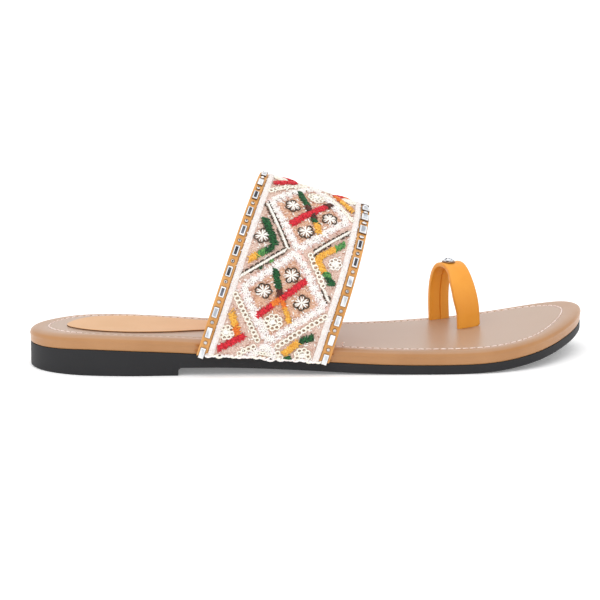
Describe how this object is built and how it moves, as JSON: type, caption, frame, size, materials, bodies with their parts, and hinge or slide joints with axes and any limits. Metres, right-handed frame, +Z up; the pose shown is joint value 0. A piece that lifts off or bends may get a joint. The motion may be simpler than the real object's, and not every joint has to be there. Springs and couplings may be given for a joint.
{
  "type": "kolhapuri sandal",
  "caption": "Flat right-foot sandal: moulded sole with a low heel, padded footbed, broad embroidered instep band edged with mirror stones, and a toe loop.",
  "frame": {"origin": "centre of the bounding box's bottom, on the floor under the waist of the sole", "axes": "+X to the toe, +Y to the inner, big-toe side, +Z up from the floor"},
  "size_m": [0.25, 0.083, 0.0854],
  "materials": {
    "sole_rubber": "satin moulded",
    "footbed_leather": "satin",
    "pad_leather": "matt",
    "mustard_leather": "satin",
    "embroidery": "thread work on net",
    "stone": "cut and silvered"
  },
  "bodies": {
    "root": {"outsole": "sole_rubber", "footbed": "footbed_leather", "heel_pad": "pad_leather", "upper_band": "mustard_leather", "embroidered_ribbon": "embroidery", "rear_stone_trim": "mustard_leather", "front_stone_trim": "mustard_leather", "toe_loop": "mustard_leather", "toe_loop_stud": "stone"}
  },
  "joints": []
}
